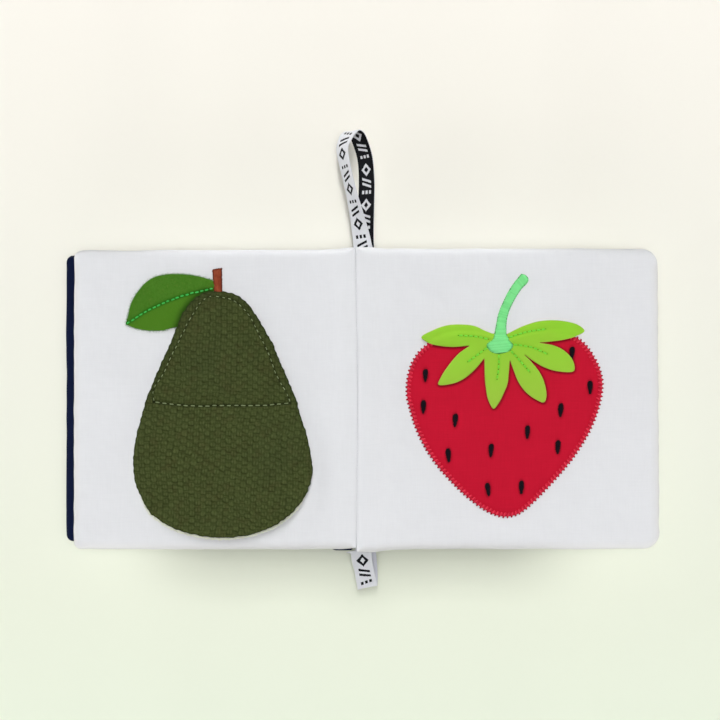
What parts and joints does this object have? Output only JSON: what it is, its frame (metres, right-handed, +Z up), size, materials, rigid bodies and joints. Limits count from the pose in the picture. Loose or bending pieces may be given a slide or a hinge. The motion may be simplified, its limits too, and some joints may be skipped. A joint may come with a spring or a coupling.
{
  "type": "sensory cloth book",
  "caption": "Soft square cloth book lying open in the middle: padded pages with an avocado flap and a strawberry sewn on, navy covers and a woven ribbon loop.",
  "frame": {"origin": "on the surface the open book lies on, under the middle of its outer box", "axes": "+X from the left page to the right page, +Y to the head of the book where the ribbon loop is, +Z up out of the pages"},
  "size_m": [0.2999, 0.232, 0.0221],
  "materials": {
    "navy_cotton": "matt plain-weave navy cotton",
    "white_cotton": "matt fine white cotton",
    "olive_canvas": "coarse basket-weave canvas",
    "cream_lining": "matt cream cotton",
    "leaf_felt": "matt green felt",
    "brown_strip": "satin brown-red woven strip",
    "light_thread": "light olive sewing thread",
    "green_thread": "bright green sewing thread",
    "red_cotton": "matt red cotton",
    "red_thread": "satin red embroidery thread",
    "calyx_sheet": "smooth lime green felt",
    "lime_thread": "light green sewing thread",
    "mint_thread": "satin mint embroidery thread",
    "black_thread": "satin black embroidery thread",
    "woven_tape": "woven tape, white outside and black inside"
  },
  "bodies": {
    "back_half": {"back_cover": "navy_cotton", "spine_strip": "navy_cotton", "right_leaf": "white_cotton", "strawberry_body": "red_cotton", "strawberry_edge_stitch": "red_thread", "strawberry_calyx": "calyx_sheet", "calyx_vein_stitch": "lime_thread", "strawberry_stem": "mint_thread", "strawberry_seeds": "black_thread", "ribbon_loop": "woven_tape", "ribbon_tab": "woven_tape"},
    "front_half": {"front_cover": "navy_cotton", "left_leaf": "white_cotton", "avocado_canvas": "olive_canvas", "avocado_flap_lining": "cream_lining", "avocado_leaf": "leaf_felt", "avocado_stem": "brown_strip", "avocado_topstitch": "light_thread", "leaf_vein_stitch": "green_thread"}
  },
  "joints": [
    {"name": "front_cover_hinge", "type": "hinge", "parent": "back_half", "child": "front_half", "pos_m": [-0.0023, -0.02, 0.022], "axis": [0, 1, 0], "range_deg": [0, 179]}
  ]
}
